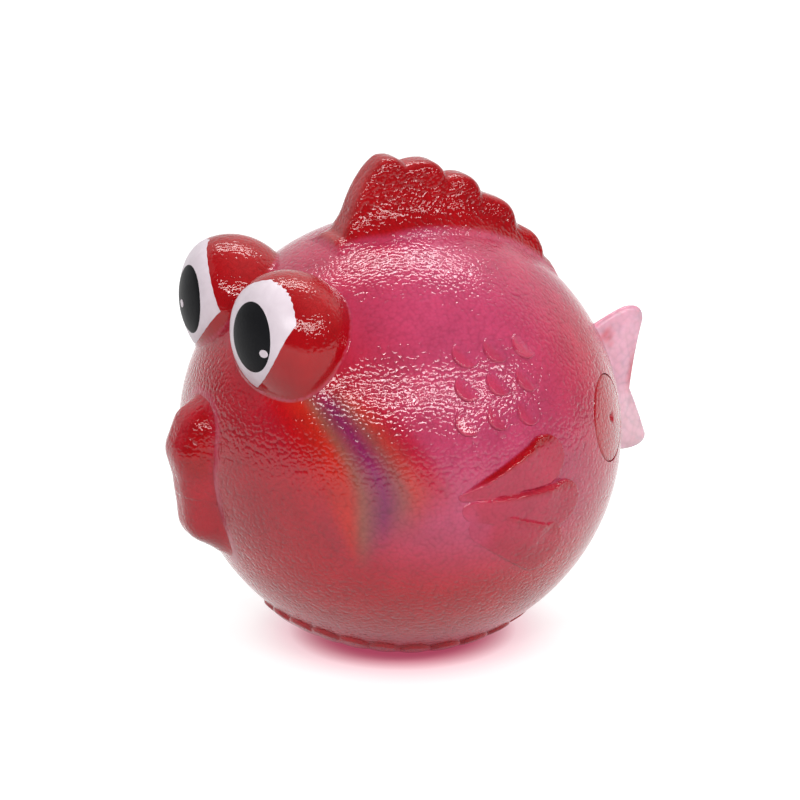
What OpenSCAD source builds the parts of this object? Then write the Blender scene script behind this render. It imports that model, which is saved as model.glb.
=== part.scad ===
// Squeaky fish dog toy: a hollow soft rubber ball with the features of a fish,
// and a reed squeaker held by a round plug in its left rear flank.
// The toy faces -Y, its left side is +X, and it stands on a small flat under its belly at Z = 0.

/* [Ball] */
// Outer diameter of the hollow ball
ball_d = 85; // [75:1:100]
// Thickness of the rubber wall
wall = 3; // [2.6:0.1:4]
// Diameter of the flat that the toy rests on
rest_d = 22; // [18:1:26]

/* [Eyes] */
// Width of an eyeball
eye_w = 25.6; // [22:0.2:27]
// Height of an eyeball
eye_h = 27.2; // [24:0.2:29]
// Half of the gap between the two eyeballs
eye_gap = 0.9; // [0.4:0.1:2]
// Height angle of the eyes above the ball's middle
eye_el = 38; // [36:0.5:41]
// Depth of an eyeball's centre under the ball's surface
eye_sink = 0.8; // [0.4:0.1:1.8]
// Forward lean of an eyeball's long axis
eye_lean = 8; // [0:1:14]
// How far the flatter front face of an eye stands before the eyeball's centre
eye_face = 9.6; // [8.6:0.1:10.4]
// Radius of that front face
eye_face_r = 18; // [15:0.5:24]
// Outward turn of the front face
gaze_out = 8; // [4:1:16]
// Upward tilt of the front face
gaze_up = 5; // [0:1:12]
// Thickness of one printed layer
ink = 0.2; // [0.1:0.05:0.3]
// Width of the white of an eye
white_w = 20.4; // [17:0.2:21]
// Height of the white above the middle of the front face
white_top = 12; // [10:0.2:12.4]
// Depth of the pointed lower end of the white
white_tip = 9.6; // [8:0.2:10.4]
// Width of a pupil
pupil_w = 11.6; // [9:0.2:12.4]
// Height of a pupil
pupil_h = 13.8; // [10:0.2:15]
// Diameter of the light dot in a pupil
glint_d = 1.9; // [1.2:0.1:2.6]

/* [Lips] */
// How far the upper lip stands out of the ball
upper_lip_out = 5.6; // [4.6:0.2:7]
// How far the lower lip stands out of the ball
lower_lip_out = 3.8; // [3.2:0.2:5]
// Height of the upper lip
upper_lip_h = 17; // [13:0.5:20]
// Height of the lower lip
lower_lip_h = 13.5; // [11:0.5:16]
// Width of the lips
lip_w = 15; // [13:0.5:18]
// Depth of the mouth line under the ball's middle
mouth_drop = 6; // [4:0.5:8]

/* [Back fin] */
// Height of the tallest lobe, at the front
fin_h = 13.2; // [10:0.2:16]
// Thickness of the fin along its crest
fin_t = 7.4; // [6:0.2:9]
// Thickness of the fin at its foot
fin_foot_t = 13; // [11:0.5:15]
// Gap between the fin's foot and the ball
fin_gap = 0.3; // [0.3:0.05:0.5]

/* [Side fins and scales] */
// Height of a side fin's lobes at their upper edges
side_fin_rise = 1.6; // [1:0.1:2]
// Length of a side fin
side_fin_l = 26; // [22:0.5:28]
// Diameter of one scale
scale_d = 6; // [5:0.1:6.1]
// Height of a scale's raised edge
scale_rise = 0.9; // [0.5:0.1:1.2]
// Spacing of the scales along the flank
scale_pitch_x = 6.3; // [6.2:0.1:7]
// Spacing of the rows of scales
scale_pitch_y = 6.2; // [6.2:0.1:7]

/* [Belly frill] */
// Half of the frill's width, to the middle of its scallops, seen from below
frill_half_w = 18.6; // [17.8:0.1:19.4]
// Half of the frill's length, to the middle of its scallops
frill_half_l = 25.1; // [23:0.1:26.6]
// Number of scallops in the frill
frill_count = 26; // [24:1:32]
// Height of the frill's relief
frill_rise = 1.1; // [0.6:0.1:1.3]

/* [Tail] */
// Length of the tail behind the ball
tail_l = 10; // [8:0.5:12]
// Height of the tail's upper lobe above the ball's middle
tail_up = 19; // [16:0.5:21]
// Depth of the tail's lower lobe under the ball's middle
tail_down = 10.8; // [8:0.2:12]
// Thickness of the tail
tail_t = 3; // [2:0.2:4]

/* [Squeaker] */
// Diameter of the plug's flush head
plug_d = 17; // [16:0.5:20]
// Thickness of the plug's head at its middle
plug_head_t = 1.8; // [1.6:0.1:2]
// Diameter of the plug's neck and sleeve
plug_neck_d = 13; // [12:0.5:14]
// Length of the plug's sleeve, from its head inwards
sleeve_l = 9.5; // [8.5:0.5:10.5]
// Gap between the plug's round faces and the ball's wall
plug_gap = 0.3; // [0.2:0.05:0.4]
// Diameter of the air hole through the plug's head
air_hole_d = 1.4; // [1:0.1:2.4]
// Outer diameter of the squeaker's housing
housing_d = 9; // [8.4:0.1:9.6]
// Wall of the squeaker's housing
housing_wall = 1; // [0.8:0.1:1.2]
// Length of the squeaker's housing
housing_l = 17; // [15:0.5:19]
// Length of the reed's blade
reed_l = 8; // [6:0.5:9]
// Width of the reed
reed_w = 3.4; // [2.6:0.1:3.8]
// Thickness of the reed's blade
reed_t = 0.2; // [0.15:0.05:0.3]
// Angle by which the reed stands off its block at rest
reed_set = 4; // [4:0.5:6]

/* [Hidden] */
ball_r = ball_d / 2;
inner_r = ball_r - wall;
// Height of the ball's middle above the rest flat
mid_z = sqrt(pow(ball_r, 2) - pow(rest_d / 2, 2));
// Facets on exact round faces, and on the children of hulls
$fn = 96;
soft_fn = 28;
// Reach of cutting blocks, past everything on the toy
reach = 2 * ball_d;
// Clearance of pieces that are pushed into each other
push_fit = 0.05;
// Radial clearance of the reed's bead in its groove
bead_fit = 0.05;
// How far a cut runs past the face that it opens
past = 1;

rubber = [0.80, 0.18, 0.30];
deep_rubber = [0.72, 0.07, 0.14];
pale_rubber = [0.93, 0.62, 0.70];
white_ink = [0.95, 0.94, 0.96];
black_ink = [0.07, 0.07, 0.08];
clear_plastic = [0.90, 0.90, 0.88];
reed_film = [0.85, 0.70, 0.35];

// Frames and shared shapes

// The ball's middle
module at_middle() {
    translate([0, 0, mid_z]) children();
}

// A frame at the ball's middle with +Z out at az from straight ahead and el above level,
// +Y up the flank and +X towards the tail on the toy's left side
module facing(az, el) {
    at_middle() rotate([0, 0, az - 90]) rotate([0, 90 - el, 0]) rotate([0, 0, 90]) children();
}

// The toy's right-hand copy of a left-hand piece
module on_right() {
    mirror([1, 0, 0]) children();
}

// A ball about the middle, or raised above it; its seam is turned to the right flank
module ball(r, lift = 0) {
    at_middle() translate([0, 0, lift]) rotate([0, 0, 180]) sphere(r);
}

// What lies outside the ball
module off_ball(gap = 0) {
    difference() {
        children();
        ball(ball_r + gap);
    }
}

// A tapered strip with round ends, from a circle r0 at p0 to a circle r1 at p1;
// the corners of its straight part are tucked just inside the circles
module finger(p0, r0, p1, r1) {
    tuck = 0.99;
    span = p1 - p0;
    heading = atan2(span.y, span.x);
    spread = acos((r0 - r1) / norm(span));
    left = [cos(heading + spread), sin(heading + spread)];
    right = [cos(heading - spread), sin(heading - spread)];
    translate(p0) circle(r0);
    translate(p1) circle(r1);
    polygon([p0 + tuck * r0 * left, p0 + tuck * r0 * right, p1 + tuck * r1 * right, p1 + tuck * r1 * left]);
}

// Points of a bow from a to b that leans towards c
function bow(a, c, b, steps = 8) =
    [for (i = [1:steps]) let (t = i / steps) pow(1 - t, 2) * a + 2 * t * (1 - t) * c + pow(t, 2) * b];

function oval(w, h, steps = 48) =
    [for (i = [0:steps - 1]) [w / 2 * cos(360 * i / steps), h / 2 * sin(360 * i / steps)]];

// Ball

module body_skin() {
    color(rubber) difference() {
        ball(ball_r);
        ball(inner_r);
        translate([-reach, -reach, -2 * reach]) cube(2 * reach);
        facing(plug_az, plug_el) {
            cylinder(h = reach, d = plug_neck_d);
            translate([0, 0, plug_floor]) cylinder(h = reach, d = plug_d);
        }
    }
}

// Eyes

// An eyeball's middle lies under the ball's surface, just clear of the toy's middle plane
eye_r = ball_r - eye_sink;
eye_x = eye_w / 2 + eye_gap;
eye_up = eye_r * sin(eye_el);
eye_fwd = sqrt(pow(eye_r, 2) - pow(eye_x, 2) - pow(eye_up, 2));

module at_eye() {
    at_middle() translate([eye_x, -eye_fwd, eye_up]) children();
}

// +Z along the eye's gaze, +Y up the face and +X outwards
module at_gaze() {
    at_eye() rotate([0, 0, gaze_out]) rotate([90 - gaze_up, 0, 0]) children();
}

// A flatter ball that bounds the front of an eye, grown by the printed layers on it
module eye_front(grow = 0) {
    at_gaze() translate([0, 0, eye_face - eye_face_r]) sphere(eye_face_r + grow);
}

module eye() {
    color(deep_rubber) off_ball() intersection() {
        at_eye() rotate([eye_lean, 0, 0]) scale([eye_w / eye_h, eye_w / eye_h, 1]) sphere(d = eye_h);
        eye_front();
    }
}

// One printed layer: its outline is thrown onto the front face
module print_on_eye(layer) {
    difference() {
        intersection() {
            eye_front(ink * layer);
            at_gaze() linear_extrude(eye_h) children();
        }
        eye_front(ink * (layer - 1));
    }
}

// A leaf with a round top, a corner at each side, the outer one higher, and a pointed lower end
module eye_white() {
    tip = [-0.04 * white_w, -white_tip];
    outer = [0.5 * white_w, 0.45 * white_top];
    crown = [0.06 * white_w, white_top];
    inner = [-0.5 * white_w, 0.12 * white_top];
    color(white_ink) print_on_eye(1) polygon([
        each bow(tip, [0.3 * white_w, -0.35 * white_tip], outer),
        each bow(outer, [0.4 * white_w, white_top], crown),
        each bow(crown, [-0.42 * white_w, white_top], inner),
        each bow(inner, [-0.36 * white_w, -0.5 * white_tip], tip)]);
}

// The pupil stands a little above the middle of the front face and towards its outer side
pupil_mid = [1, 1.4];

module pupil() {
    color(black_ink) print_on_eye(2) translate(pupil_mid) polygon(oval(pupil_w, pupil_h));
}

// The light dot sits low in the pupil's outer half
module eye_glint() {
    color(white_ink) print_on_eye(3) translate(pupil_mid + [0.3 * pupil_w, -0.19 * pupil_h])
        circle(d = glint_d);
}

// Lips

// Where a lip's round edges lie: half its width and its radius
lip_edge = 0.32 * lip_w;
lip_x = lip_w / 2 - lip_edge;

// Two round cores side by side, fwd in front of the ball's middle and up above it;
// spread is their distance apart as a share of the widest
module lip_core(fwd, up, r, spread = 1) {
    for (side = [-1, 1]) at_middle() translate([side * spread * lip_x, -fwd, up]) sphere(r, $fn = soft_fn);
}

module above_mouth(sign) {
    intersection() {
        children();
        translate([-reach, -reach, mid_z - mouth_drop - (sign > 0 ? 0 : 2 * reach)]) cube(2 * reach);
    }
}

module upper_lip() {
    nose = ball_r + upper_lip_out;
    top = upper_lip_h - mouth_drop;
    color(deep_rubber) above_mouth(1) off_ball() hull() {
        lip_core(nose - lip_edge, top - 0.47 * upper_lip_h, lip_edge);
        lip_core(nose - 1.25 * lip_edge, 0.35 * lip_edge - mouth_drop, lip_edge);
        lip_core(ball_r - 0.9 * lip_edge, top - 0.9 * lip_edge, lip_edge);
    }
}

module lower_lip() {
    nose = ball_r + lower_lip_out;
    low = -mouth_drop - lower_lip_h;
    color(deep_rubber) above_mouth(-1) off_ball() hull() {
        lip_core(nose - lip_edge, -mouth_drop - 0.6 * lip_edge, lip_edge);
        lip_core(nose - 1.5 * lip_edge, low + 1.1 * lip_edge, 0.85 * lip_edge, 0.6);
        lip_core(ball_r - 2.2 * lip_edge, low + 0.9 * lip_edge, 0.8 * lip_edge, 0.3);
    }
}

// Back fin

// The lobes' angles behind the top of the ball, and their heights as shares of the tallest
lobe_angle = [-6.3, 2.7, 13.3, 25.7, 37.2];
lobe_share = [1, 0.89, 0.71, 0.49, 0.26];
// The notches between them
notch_angle = [-1.8, 9.3, 21.3, 33.2];
notch_share = [0.86, 0.66, 0.5, 0.22];
fin_front_angle = -17.5;
fin_back_angle = 43;
lobe_r = 0.35 * fin_t;

// A bar across the fin, out at a height above the ball and at an angle behind its top
module fin_bar(angle, height, thick, r) {
    at_middle() rotate([-angle, 0, 0]) translate([0, 0, ball_r + height])
        for (side = [-1, 1]) translate([side * (thick / 2 - r), 0, 0]) sphere(r, $fn = soft_fn);
}

// One slice of the fin, from its crest down to a wider foot inside the ball's surface
module fin_slice(angle, height) {
    hull() {
        fin_bar(angle, max(height - lobe_r, 0), fin_t, lobe_r);
        fin_bar(angle, 0, fin_foot_t, lobe_r / 2);
    }
}

module back_fin() {
    color(deep_rubber) off_ball(fin_gap) {
        for (i = [0:4]) fin_slice(lobe_angle[i], fin_h * lobe_share[i]);
        // Webs fill the fin up to its notches
        for (i = [0:3]) hull() {
            fin_slice(notch_angle[i], fin_h * notch_share[i]);
            fin_bar(lobe_angle[i], fin_h * notch_share[i] - lobe_r, fin_t, lobe_r);
            fin_bar(lobe_angle[i + 1], max(fin_h * notch_share[i] - 2 * lobe_r, 0), fin_t, lobe_r);
            fin_bar(lobe_angle[i], 0, fin_foot_t, lobe_r / 2);
            fin_bar(lobe_angle[i + 1], 0, fin_foot_t, lobe_r / 2);
        }
        // Sloping front and rear ends
        hull() {
            fin_bar(lobe_angle[0], fin_h - 1.4 * lobe_r, fin_t, lobe_r);
            fin_bar(lobe_angle[0], 0, fin_foot_t, lobe_r / 2);
            fin_bar(0.6 * fin_front_angle, 0.4 * fin_h, fin_t, lobe_r);
            fin_bar(fin_front_angle, 0, fin_t, lobe_r / 2);
        }
        hull() {
            fin_bar(lobe_angle[4], 0, fin_foot_t, lobe_r / 2);
            fin_bar(fin_back_angle, 0, fin_t, lobe_r / 2);
        }
    }
}

// Side fins and scales

// One lobe of relief: its outer face is a ball moved up, so that it is highest at its upper edge
module shingle(rise, lift) {
    off_ball() intersection() {
        facing(90, 0) linear_extrude(reach) children();
        ball(ball_r + rise, lift);
    }
}

// Three lobes fan out from one root; places and radii are shares of the fin's length
module side_fin() {
    root = [-0.27, 0.02];
    lift = 1.6 * side_fin_rise;
    color(deep_rubber) {
        shingle(0.6 * side_fin_rise, lift) fin_lobe(root, 0.046, [0.37, 0.19], 0.19);
        shingle(0.8 * side_fin_rise, lift) fin_lobe(root + [0.08, -0.11], 0.096, [0.53, -0.16], 0.177);
        shingle(side_fin_rise, lift) fin_lobe(root + [0.19, -0.25], 0.154, [0.38, -0.477], 0.21);
    }
}

module fin_lobe(p0, r0, p1, r1) {
    finger(side_fin_l * p0, side_fin_l * r0, side_fin_l * p1, side_fin_l * r1);
}

// Three rows of three crescents, each raised along its front and lower edge; lower rows lie further forward
scale_slant = 0.2 * scale_pitch_y;
scale_az = 94;
scale_el = 28.7;

module scales() {
    color(rubber) off_ball() intersection() {
        facing(scale_az, scale_el) linear_extrude(reach) for (col = [-1:1], row = [-1:1])
            translate([col * scale_pitch_x + row * scale_slant, row * scale_pitch_y]) difference() {
                circle(d = scale_d);
                translate([0.16, 0.24] * scale_d) circle(d = scale_d);
            }
        ball(ball_r + scale_rise);
    }
}

// Belly frill

// A chain of round scallops along an oval, longer from front to back, each running into the next
module belly_frill() {
    scallop_r = 0.2 * frill_half_w;
    color(deep_rubber) off_ball() intersection() {
        linear_extrude(mid_z) for (spot = oval(2 * frill_half_w, 2 * frill_half_l, frill_count))
            translate(spot) circle(scallop_r);
        ball(ball_r + frill_rise);
    }
}

// Tail

// A forked fan in the toy's middle plane: y runs up from the ball's middle, x runs back from its rear
module tail_outline() {
    crown = [0.55 * tail_l, tail_up];
    tip = [tail_l, 0.84 * tail_up];
    notch = [0.73 * tail_l, 0.1 * tail_up];
    low_tip = [1.1 * tail_l, -0.75 * tail_down];
    foot = [0.6 * tail_l, -tail_down];
    // Both ends of the root lie inside the ball
    root_top = [-tail_l, 0.55 * tail_up];
    root_low = [-tail_l, -0.6 * tail_down];
    polygon([root_low, root_top,
        each bow(root_top, [0.1 * tail_l, 0.84 * tail_up], crown),
        each bow(crown, [tail_l, 1.02 * tail_up], tip),
        each bow(tip, [0.82 * tail_l, 0.5 * tail_up], notch),
        each bow(notch, [0.95 * tail_l, -0.3 * tail_down], low_tip),
        each bow(low_tip, [1.1 * tail_l, -tail_down], foot),
        each bow(foot, [0, -0.9 * tail_down], root_low)]);
}

module tail_fin() {
    color(pale_rubber) off_ball() at_middle() translate([-tail_t / 2, ball_r, 0])
        rotate([90, 0, 90]) linear_extrude(tail_t) tail_outline();
}

// Squeaker: distances run outwards along its axis, from the ball's middle

plug_az = 137;
plug_el = 9.3;
plug_floor = ball_r - plug_head_t;
plug_flange_t = 1.6;
plug_flange_d = (plug_d + plug_neck_d) / 2;
sleeve_end = plug_floor - sleeve_l;
// The housing's outer end stops short of the plug's head
housing_step = 0.6;
housing_top = plug_floor - housing_step;
housing_end = housing_top - housing_l;
bore_d = housing_d - 2 * housing_wall;
// A collar on the housing stops against the end of the plug's sleeve, a step inside its outer face
collar_t = 1.2;
collar_step = 0.5;
collar_d = plug_neck_d - 2 * collar_step;
block_top = housing_top - housing_wall;
block_d = bore_d - 2 * push_fit;
bead_r = 0.5;
// Depth of the reed's bead under the block's outer end, and of the block's inner end past the blade
bead_depth = 2.8;
block_foot = 1.2;
bead_at = block_top - bead_depth;
block_end = bead_at - reed_l - block_foot;
// Thickness of the block left at the inner end of its air channel
channel_end = 2;
// The cap's wall, and how far it reaches over the housing
cap_wall = 1.1;
cap_l = 2.4;
// Depth of the block's face under the bead's middle, so that the closing reed stays clear of it
face_fit = 0.05;
face_drop = reed_t / 2 + face_fit;

module on_squeaker() {
    facing(plug_az, plug_el) children();
}

module bored(d, from, to) {
    translate([0, 0, from]) cylinder(h = to - from, d = d);
}

module squeaker_plug() {
    color(deep_rubber) difference() {
        union() {
            intersection() {
                on_squeaker() bored(plug_d - 2 * plug_gap, plug_floor, ball_r + past);
                ball(ball_r);
            }
            // The neck runs up into the head
            on_squeaker() bored(plug_neck_d - 2 * plug_gap, sleeve_end, plug_floor + plug_head_t / 2);
            // The flange inside the wall keeps the plug from being pulled out
            intersection() {
                on_squeaker() bored(plug_flange_d, inner_r - plug_flange_t - past, inner_r);
                ball(inner_r - plug_gap);
            }
        }
        on_squeaker() bored(housing_d, sleeve_end - past, housing_top);
        on_squeaker() bored(air_hole_d, sleeve_end - past, ball_r + past);
    }
}

module squeaker_housing() {
    color(clear_plastic) on_squeaker() difference() {
        union() {
            bored(housing_d, housing_end, housing_top);
            bored(collar_d, sleeve_end - collar_t, sleeve_end);
        }
        bored(bore_d, housing_end - past, block_top);
        bored(air_hole_d, housing_end, housing_top + past);
    }
}

module squeaker_cap() {
    color(clear_plastic) on_squeaker() difference() {
        bored(housing_d + 2 * cap_wall, housing_end - cap_wall, housing_end + cap_l);
        bored(housing_d + 2 * push_fit, housing_end, housing_end + cap_l + past);
        bored(0.55 * bore_d, housing_end - cap_wall - past, housing_end + past);
    }
}

// Half of a round rod, on the lower or upper side of the reed's plane
module half_rod(side, from, to) {
    intersection() {
        bored(block_d, from, to);
        translate([-block_d, side > 0 ? 0 : -2 * block_d, from]) cube([2 * block_d, 2 * block_d, to - from]);
    }
}

module bead_groove() {
    translate([-block_d, 0, bead_at]) rotate([0, 90, 0]) cylinder(h = 2 * block_d, r = bead_r + bead_fit);
}

module reed_block() {
    channel_w = 0.6 * reed_w;
    color(clear_plastic) on_squeaker() difference() {
        half_rod(-1, block_end, block_top);
        bead_groove();
        // The face under the blade, and the air channel that the blade covers
        translate([-block_d, -face_drop, block_end - past])
            cube([2 * block_d, block_d, bead_at - block_end + past]);
        translate([-channel_w / 2, -0.3 * block_d, block_end + channel_end])
            cube([channel_w, block_d, housing_l]);
    }
}

module reed_clamp() {
    color(clear_plastic) on_squeaker() difference() {
        half_rod(1, bead_at, block_top);
        bead_groove();
    }
}

module squeaker_reed() {
    color(reed_film) on_squeaker() translate([-reed_w / 2, 0, bead_at]) rotate([reed_set, 0, 0]) {
        rotate([0, 90, 0]) cylinder(h = reed_w, r = bead_r);
        translate([0, -reed_t / 2, -reed_l]) cube([reed_w, reed_t, reed_l]);
    }
}

body_skin();
eye();  // left_eye
on_right() eye();  // right_eye
eye_white();  // left_eye_white
on_right() eye_white();  // right_eye_white
pupil();  // left_pupil
on_right() pupil();  // right_pupil
eye_glint();  // left_eye_glint
on_right() eye_glint();  // right_eye_glint
upper_lip();
lower_lip();
back_fin();
side_fin();  // left_side_fin
on_right() side_fin();  // right_side_fin
scales();  // left_scales
on_right() scales();  // right_scales
belly_frill();
tail_fin();
squeaker_plug();
squeaker_housing();
squeaker_cap();
reed_block();
reed_clamp();
squeaker_reed();
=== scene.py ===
"""A squeaky fish dog toy: a hollow ball of pebbled translucent rubber with eyes, lips, fins and tail."""

import math

import bmesh
import bpy
import numpy as np
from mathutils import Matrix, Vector


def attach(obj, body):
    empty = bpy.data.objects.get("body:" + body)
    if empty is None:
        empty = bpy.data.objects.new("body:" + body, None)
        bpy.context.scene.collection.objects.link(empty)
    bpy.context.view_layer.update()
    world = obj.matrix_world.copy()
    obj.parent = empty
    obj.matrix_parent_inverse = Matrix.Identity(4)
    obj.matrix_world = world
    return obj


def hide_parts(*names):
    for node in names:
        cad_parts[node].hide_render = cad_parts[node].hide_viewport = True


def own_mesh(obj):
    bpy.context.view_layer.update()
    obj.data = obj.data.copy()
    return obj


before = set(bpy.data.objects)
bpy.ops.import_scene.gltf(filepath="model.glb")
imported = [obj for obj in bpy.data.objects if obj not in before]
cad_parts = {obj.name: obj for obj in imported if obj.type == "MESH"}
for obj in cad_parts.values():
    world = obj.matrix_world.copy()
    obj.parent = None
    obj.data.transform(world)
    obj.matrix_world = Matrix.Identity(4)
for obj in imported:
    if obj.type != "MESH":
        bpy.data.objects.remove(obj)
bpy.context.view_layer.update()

# Sizes in millimetres, the same as the solids
BALL_R = 42.5
WALL = 3.0
REST_R = 11.0
MID = np.array([0.0, 0.0, math.sqrt(BALL_R**2 - REST_R**2)])
# A length beyond everything here, and one that counts as none
FAR = 1e9
TINY = 1e-9


# Numbers and vectors

def unit(v):
    v = np.asarray(v, float)
    return v / np.linalg.norm(v, axis=-1, keepdims=True)


def smooth(t):
    t = np.clip(t, 0, 1)
    return t * t * (3 - 2 * t)


def fade(value, start, end):
    """0 at the start, 1 at the end and smooth between them; the end may be the lesser."""
    return smooth((value - start) / (end - start))


def soft_max(a, b, k):
    """The greater of two distances, rounded where they come within k of each other."""
    h = np.maximum(k - np.abs(a - b), 0) / k
    return np.maximum(a, b) + h * h * k / 4


def soft_min(a, b, k):
    return -soft_max(-a, -b, k)


def linear(red, green, blue):
    """A display colour, 0 to 255, as linear light."""
    c = np.array([red, green, blue], float) / 255
    return np.where(c <= 0.04045, c / 12.92, ((c + 0.055) / 1.055) ** 2.4)


def mix(a, b, share):
    """Colours a turned into b by a share for each point."""
    share = np.asarray(share, float)[..., None]
    return a * (1 - share) + b * share


def facing(azimuth, elevation):
    """The outward, tailward and upward axes at a place on the ball; azimuth 0 is its front, 90 its left."""
    a = math.radians(azimuth)
    e = math.radians(elevation)
    out = np.array([math.sin(a) * math.cos(e), -math.cos(a) * math.cos(e), math.sin(e)])
    back = np.array([math.cos(a), math.sin(a), 0.0])
    return out, back, np.cross(out, back)


def bow(a, via, b, steps=14):
    """Points of a curve from a towards b, pulled to the point between them."""
    a, via, b = np.array(a, float), np.array(via, float), np.array(b, float)
    t = np.linspace(0, 1, steps, endpoint=False)[:, None]
    return (1 - t) ** 2 * a + 2 * t * (1 - t) * via + t * t * b


def outline_distance(points, loop):
    """Distance of 2D points to a closed loop, negative inside."""
    best = np.full(len(points), FAR)
    inside = np.zeros(len(points), bool)
    for a, b in zip(loop, np.roll(loop, -1, axis=0)):
        edge = b - a
        w = points - a
        t = np.clip(w @ edge / (edge @ edge), 0, 1)
        best = np.minimum(best, np.sum((w - t[:, None] * edge) ** 2, axis=1))
        spans = (a[1] > points[:, 1]) != (b[1] > points[:, 1])
        rise = edge[1] if abs(edge[1]) > TINY else TINY
        inside ^= spans & (points[:, 0] < a[0] + (points[:, 1] - a[1]) / rise * edge[0])
    return np.where(inside, -1, 1) * np.sqrt(best)


# The face swells between the eyes and the lips: how much, where, and the angles that it fades out between
FACE_SWELL = 1.1
FACE_MID = facing(0, 16)[0]
FACE_FULL = 18
FACE_END = 48


def face_swell(p):
    """Height of the skin over the ball by direction from its middle."""
    away = np.degrees(np.arccos(np.clip(unit(p - MID) @ FACE_MID, -1, 1)))
    return FACE_SWELL * fade(away, FACE_END, FACE_FULL)


def from_ball(p):
    return np.linalg.norm(p - MID, axis=1) - BALL_R - face_swell(p)


def slope_of(form, p, eps=0.02):
    """The gradient of a form at points."""
    return np.stack([(form(p + eps * e) - form(p - eps * e)) / (2 * eps) for e in np.eye(3)], axis=1)


# Meshes

# Edges that turn by more than this are shaded crisp
CRISP_EDGE = math.radians(55)


def make_piece(name, verts, faces, body="toy"):
    """A closed smooth piece from points in millimetres, riding on a CAD body."""
    mesh = bpy.data.meshes.new(name)
    mesh.from_pydata((np.asarray(verts) / 1000).tolist(), [], [list(f) for f in faces])
    work = bmesh.new()
    work.from_mesh(mesh)
    bmesh.ops.recalc_face_normals(work, faces=work.faces)
    for face in work.faces:
        face.smooth = True
    work.to_mesh(mesh)
    work.free()
    mesh.set_sharp_from_angle(angle=CRISP_EDGE)
    obj = bpy.data.objects.new(name, mesh)
    bpy.context.scene.collection.objects.link(obj)
    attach(obj, body)
    return obj


def paint(obj, colours, grain):
    """Keeps each point's colour and the depth of its pebbles on the mesh."""
    count = len(obj.data.vertices)
    rgba = np.ones((count, 4))
    rgba[:, :3] = colours
    tint = obj.data.attributes.new("tint", "FLOAT_COLOR", "POINT")
    tint.data.foreach_set("color", rgba.astype(np.float32).ravel())
    rough = obj.data.attributes.new("grain", "FLOAT", "POINT")
    rough.data.foreach_set("value", np.broadcast_to(grain, (count,)).astype(np.float32))


def dress(obj, material, solid):
    """Puts a finished piece in place of its solid."""
    obj.data.materials.append(material)
    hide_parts(solid)
    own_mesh(obj)


def grid_points(xs, ys):
    """Every pair of two rows of values, in the order of a grid."""
    return np.stack(np.meshgrid(xs, ys, indexing="ij"), axis=-1).reshape(-1, 2)


# How the points of a surface settle onto its form: passes, least square of a slope, and longest move in steps
SETTLE_PASSES = 4
LEAST_SLOPE = 0.05
LONGEST_MOVE = 0.4


def surface(form, low, high, step):
    """Points and quads of the surface where a form's distance is zero, inside a box."""
    axes = [np.arange(a, b + step, step) for a, b in zip(low, high)]
    grid = np.stack(np.meshgrid(*axes, indexing="ij"), axis=-1)
    shape = grid.shape[:3]
    value = form(grid.reshape(-1, 3)).reshape(shape)
    inside = value < 0
    cells = tuple(n - 1 for n in shape)
    corners = [(i, j, k) for i in (0, 1) for j in (0, 1) for k in (0, 1)]

    def at(array, corner):
        i, j, k = corner
        return array[i:i + cells[0], j:j + cells[1], k:k + cells[2]]

    count = sum(at(inside, c).astype(int) for c in corners)
    mixed = (count > 0) & (count < 8)
    total = np.zeros(cells + (3,))
    hits = np.zeros(cells)
    for a in corners:
        for b in corners:
            if sum(b) - sum(a) == 1 and sum(abs(x - y) for x, y in zip(a, b)) == 1:
                va, vb = at(value, a), at(value, b)
                cross = (va < 0) != (vb < 0)
                t = np.where(cross, va / np.where(cross, va - vb, 1), 0)[..., None]
                point = at(grid, a) * (1 - t) + at(grid, b) * t
                total += np.where(cross[..., None], point, 0)
                hits += cross
    number = np.full(cells, -1)
    number[mixed] = np.arange(mixed.sum())
    verts = total[mixed] / hits[mixed][:, None]
    faces = []
    for axis in range(3):
        ends = [slice(1, n - 1) for n in shape]
        ends[axis] = slice(0, shape[axis] - 1)
        ahead = list(ends)
        ahead[axis] = slice(1, shape[axis])
        cross = inside[tuple(ends)] != inside[tuple(ahead)]
        u, v = [a for a in range(3) if a != axis]
        around = []
        for du, dv in ((-1, -1), (0, -1), (0, 0), (-1, 0)):
            pick = [slice(0, shape[axis] - 1)] * 3
            pick[u] = slice(1 + du, shape[u] - 1 + du)
            pick[v] = slice(1 + dv, shape[v] - 1 + dv)
            around.append(number[tuple(pick)][cross])
        faces.append(np.stack(around, axis=1))
    for _ in range(SETTLE_PASSES):
        slope = slope_of(form, verts)
        steep = np.maximum(np.sum(slope**2, axis=1), LEAST_SLOPE)
        move = form(verts)[:, None] * slope / steep[:, None]
        size = np.linalg.norm(move, axis=1, keepdims=True)
        verts = verts - move * np.minimum(1, LONGEST_MOVE * step / np.maximum(size, TINY))
    return verts, np.concatenate(faces)


def mirrored(verts):
    return verts * np.array([-1, 1, 1])


# What turns the points of a left piece into each side's
SIDES = {"left": np.array, "right": mirrored}


def make_pair(solid, verts, faces, colours, grain, material):
    """A left piece and its mirror image."""
    for side, turn in SIDES.items():
        obj = make_piece(f"{side}_{solid}_form", turn(verts), faces)
        paint(obj, colours, grain)
        dress(obj, material, f"{side}_{solid}")


def ring_faces(rows, columns):
    """Quads between rows of points, each row a closed ring."""
    i, j = np.meshgrid(np.arange(rows - 1), np.arange(columns), indexing="ij")
    k = (j + 1) % columns
    quads = [i * columns + j, i * columns + k, (i + 1) * columns + k, (i + 1) * columns + j]
    return np.stack(quads, axis=-1).reshape(-1, 4)


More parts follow.
